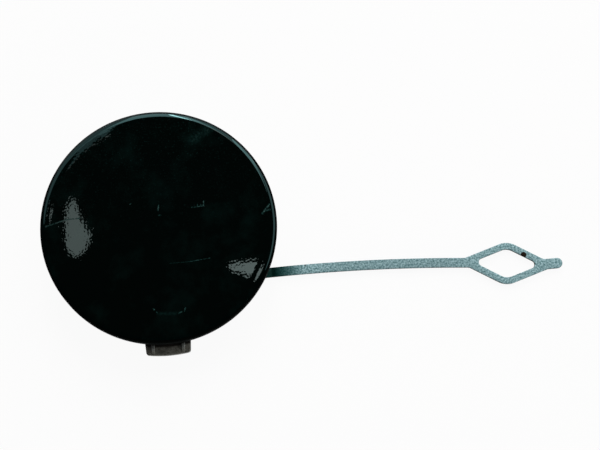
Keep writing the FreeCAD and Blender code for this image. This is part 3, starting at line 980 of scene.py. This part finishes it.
studio = {
    "floorColour": "#f7f7f6",
    "floorFleck": "#f5f5f5",
    "floorPulp": 40.0,          # size of the card's clouds
    "floorRoughness": 0.95,
    "floorGlow": 0.94,          # share of plain white in what the camera and the gloss see of the floor
    "floorHalf": 1.5,           # metres
    "worldColour": "#ffffff",
    "worldStrength": 0.02,
    # name, shape, degrees round from +X, degrees up, distance, width and height in metres, radiance
    "softboxes": [
        ("left_box", "ELLIPSE", 118.0, 38.0, 1.2, 1.6, 1.262, 0.6),
        ("back_box", "RECTANGLE", 91.0, 40.0, 1.2, 0.5, 1.14, 2.1),
        ("middle_box", "RECTANGLE", 69.0, 37.0, 1.2, 0.5, 1.04, 1.2),
        ("right_back_box", "RECTANGLE", 50.0, 38.0, 1.2, 0.32, 1.0, 2.9),
        ("right_box", "ELLIPSE", 14.0, 27.0, 1.2, 1.35, 0.8, 0.95),
        ("front_box", "ELLIPSE", -68.0, 13.0, 1.2, 2.0, 0.45, 1.7),
        ("back_strip", "RECTANGLE", 87.0, 42.0, 1.1, 0.042, 0.7, 20.0),
    ],
    # name, place on the dome that mirrors it, width and height in metres, degrees turned, radiance; the
    # hollow inside the rim shifts the first one's image, so its place is on the dome carried on past the rim
    "glints": [
        ("left_streak", (-39.4, 7.1), 0.007, 0.042, -12.0, 1.5),
        ("edge_glint", (-19.6, 30.8), 0.2, 0.028, 38.0, 0.42),
    ],
    # name, strips, radiance, and rows down the face as (level, start, end) in millimetres on it, with level
    # upwards and start and end to the right as the camera sees them
    "stripGlints": [
        ("left_flame", 18, 1.8, [(8.4, -27.6, -27.3), (5.6, -29.4, -26.5), (0.7, -29.8, -23.9),
                                 (-3.9, -29.6, -21.8), (-7.4, -28.9, -22.7), (-10.2, -26.9, -24.4)]),
        ("right_wedge", 9, 2.7, [(-11.7, 28.4, 33.4), (-12.3, 26.2, 33.2), (-12.8, 22.9, 33.0),
                                 (-14.4, 23.6, 32.4), (-14.9, 26.2, 32.2), (-16.2, 29.5, 31.7)]),
    ],
    "glintDistance": 1.0,       # metres from the face
}


def cardBoard():
    # Matt white card: no gloss, with a trace of unevenness from its pulp.
    finish, tree, surface, coords = newFinish("matt_white_card")
    pulp = addNode(tree, "TexNoise", {"Scale": perSize(studio["floorPulp"]), "Detail": 3.0},
                   {"Vector": coords})
    colour = layCoats(tree, studio["floorColour"], [(pulp, studio["floorFleck"])])
    plug(tree, surface, {"Roughness": studio["floorRoughness"], "Specular IOR Level": 0.0},
         {"Base Color": colour})

    # seen by the camera, in gloss or through glass, part of it is plain white; the rest keeps the shadow
    rays = addNode(tree, "LightPath")
    seen = rays.outputs["Is Camera Ray"]
    for ray in ("Is Glossy Ray", "Is Transmission Ray"):
        seen = addNode(tree, "Math", None, {0: seen, 1: rays.outputs[ray]}, operation="MAXIMUM")
    share = addNode(tree, "Math", {1: studio["floorGlow"]}, {0: seen}, operation="MULTIPLY")
    glow = addNode(tree, "Emission", {"Color": (1, 1, 1, 1), "Strength": 1.0})
    mixed = addNode(tree, "MixShader", None, {0: share, 1: surface, 2: glow})
    plug(tree, tree.nodes["Material Output"], None, {"Surface": mixed})
    return finish


def addLamp(name, shape, place, target, across, width, height, turn, radiance):
    # it faces the target, with its width as near as can be along across; its power is radiance times pi times
    # the area of the rectangle round it, so an ellipse, which is smaller, comes out brighter than that
    lamp = bpy.data.lights.new(name, "AREA")
    lamp.shape = shape
    lamp.size, lamp.size_y = width, height
    lamp.energy = radiance * width * height * math.pi
    lampObject = bpy.data.objects.new(name, lamp)
    back = (place - target).normalized()
    side = (across - back * across.dot(back)).normalized()
    up = back.cross(side)
    turned = Matrix.Rotation(math.radians(turn), 3, back)
    lampObject.matrix_world = Matrix.LocRotScale(
        place, turned @ Matrix((side, up, back)).transposed(), None)
    bpy.context.scene.collection.objects.link(lampObject)


def mirrorPlace(x, y):
    # where a lamp has to stand to show at a place on the dome: the way to the camera, turned about the normal
    place = Vector((x, y, float(domeHeight(math.hypot(x, y))))) * mm
    normal = (place - Vector((0, 0, domeCentre * mm))).normalized()
    toEye = (cameraPlace - place).normalized()
    return place + (normal * (2 * normal.dot(toEye)) - toEye) * studio["glintDistance"], place


def stripGlint(name, strips, radiance, rows):
    # a lamp has no outline of its own, so strips side by side make one: at each level the glint's start and
    # end lie between those of the rows, and a strip reaches from where the one is mirrored to where the
    # other is
    levels, starts, ends = np.array(rows).T
    right = Vector((cameraRight.x, cameraRight.y)).normalized()

    def mirrored(across, level):
        return mirrorPlace(across * right.x - level * right.y, across * right.y + level * right.x)

    cuts = np.linspace(levels[0], levels[-1], strips + 1)
    for number, (high, low) in enumerate(zip(cuts[:-1], cuts[1:])):
        level = (high + low) / 2
        start, end = (float(np.interp(-level, -levels, edge)) for edge in (starts, ends))
        half = (start + end) / 2
        middle, target = mirrored(half, level)
        across = mirrored(end, level)[0] - mirrored(start, level)[0]
        height = (mirrored(half, high)[0] - mirrored(half, low)[0]).length
        addLamp(f"{name}_{number}", "RECTANGLE", middle, target, across, across.length, height, 0, radiance)


def buildStudio():
    half = studio["floorHalf"]
    corners = [(x * half, y * half, boxLow[2]) for x, y in ((-1, -1), (1, -1), (1, 1), (-1, 1))]
    floorMesh = bpy.data.meshes.new("floor")
    floorMesh.from_pydata(corners, [], [(0, 1, 2, 3)])
    floorMesh.materials.append(cardBoard())
    floor = bpy.data.objects.new("floor", floorMesh)
    bpy.context.scene.collection.objects.link(floor)

    world = bpy.data.worlds.new("dim_room")
    world.use_nodes = True
    plug(world.node_tree, world.node_tree.nodes["Background"],
         {"Color": linearColour(studio["worldColour"]), "Strength": studio["worldStrength"]})
    bpy.context.scene.world = world

    target = Vector(((boxLow[0] + boxHigh[0]) / 2, 0, 0))
    for name, shape, around, up, distance, width, height, radiance in studio["softboxes"]:
        outwards, upwards = direction(up)
        away = Vector((*(direction(around) * outwards), upwards)) * distance
        across = Vector((*direction(around + 90), 0))
        addLamp(name, shape, target + away, target, across, width, height, 0, radiance)
    for name, place, width, height, turn, radiance in studio["glints"]:
        lampPlace, facePlace = mirrorPlace(*place)
        addLamp(name, "ELLIPSE", lampPlace, facePlace, cameraRight, width, height, turn, radiance)
    for glint in studio["stripGlints"]:
        stripGlint(*glint)
    print("studio set")


plasticFinish = mouldedPlastic()
facePaint = sprayedPaint("sprayed_car_paint", paint["tint"], paint["peelHeight"])
edgePaint = sprayedPaint("sprayed_edge_paint", paint["edgeTint"], paint["edgePeel"])
paintedCap(facePaint, edgePaint, drySprayedRim(), plasticFinish)
collarRing(plasticFinish)
hookFoot(plasticFinish)
footRibs(plasticFinish)
gussetWalls(plasticFinish)
strapLoop(paintMist())
buildStudio()
